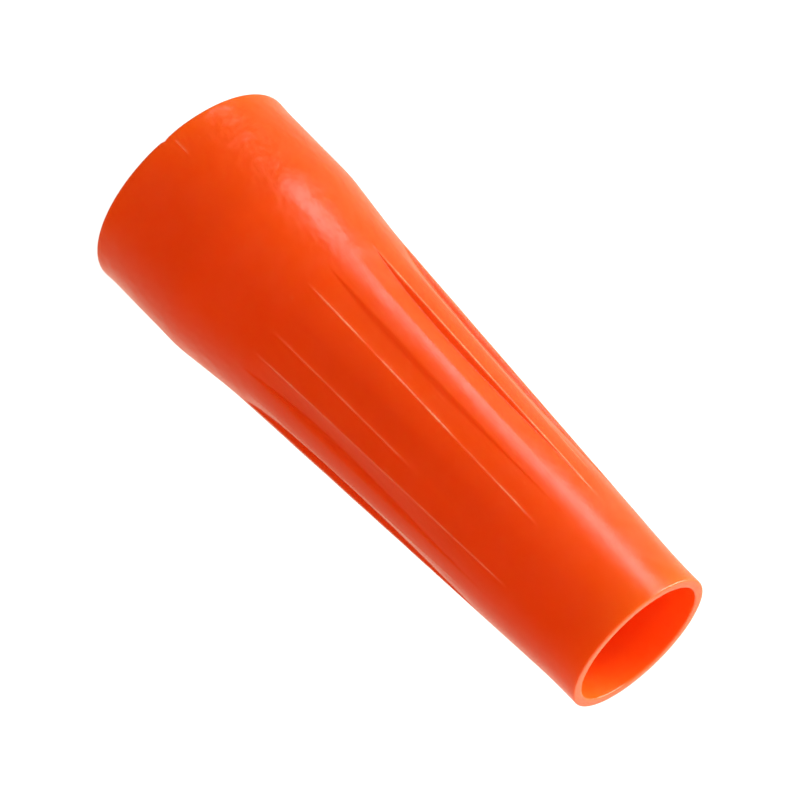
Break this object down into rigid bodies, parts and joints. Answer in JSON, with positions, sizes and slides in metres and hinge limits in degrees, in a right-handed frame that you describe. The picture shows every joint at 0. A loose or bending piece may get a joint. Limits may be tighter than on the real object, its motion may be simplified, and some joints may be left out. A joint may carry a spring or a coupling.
{
  "type": "twist wire connector",
  "caption": "Slim orange twist-on wire connector: smooth skirt, fluted tapered grip, hollow cup at the tip, conical square-wire spring inside.",
  "frame": {"origin": "centre of the mouth rim, which the connector stands on", "axes": "+Z along the connector's axis, from the mouth towards the tip; the flutes' lands are centred on X and Y"},
  "size_m": [0.0102, 0.0102, 0.028],
  "materials": {
    "shell_plastic": "satin, slightly waxy moulded thermoplastic",
    "spring_steel": "bright zinc-plated drawn wire"
  },
  "bodies": {
    "root": {"shell": "shell_plastic", "spring": "spring_steel"}
  },
  "joints": []
}
